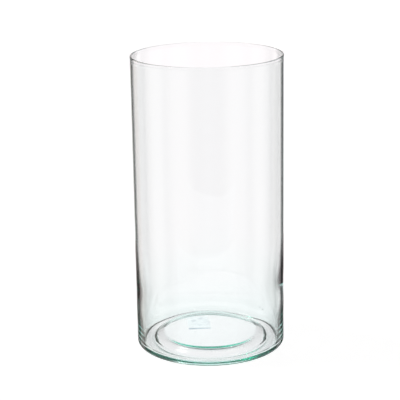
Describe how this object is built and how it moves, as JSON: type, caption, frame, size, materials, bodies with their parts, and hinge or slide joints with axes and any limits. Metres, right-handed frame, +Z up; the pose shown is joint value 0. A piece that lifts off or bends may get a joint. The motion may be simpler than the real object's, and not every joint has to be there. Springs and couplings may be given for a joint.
{
  "type": "glass cylinder vase",
  "caption": "Tall straight-sided clear glass cylinder vase with a fire-polished rim, a thick floor pushed up in the middle and a paper label under it.",
  "frame": {"origin": "centre of the foot ring, on the surface the vase stands on", "axes": "+Z up along the axis of the cylinder, +Y away from a viewer in front, +X to that viewer's right"},
  "size_m": [0.1522, 0.1522, 0.3],
  "materials": {
    "clear_glass": "clear, smooth, faint green tint through its thickness",
    "label_paper": "matt white paper"
  },
  "bodies": {
    "root": {"glass_vase": "clear_glass", "base_label": "label_paper"}
  },
  "joints": []
}
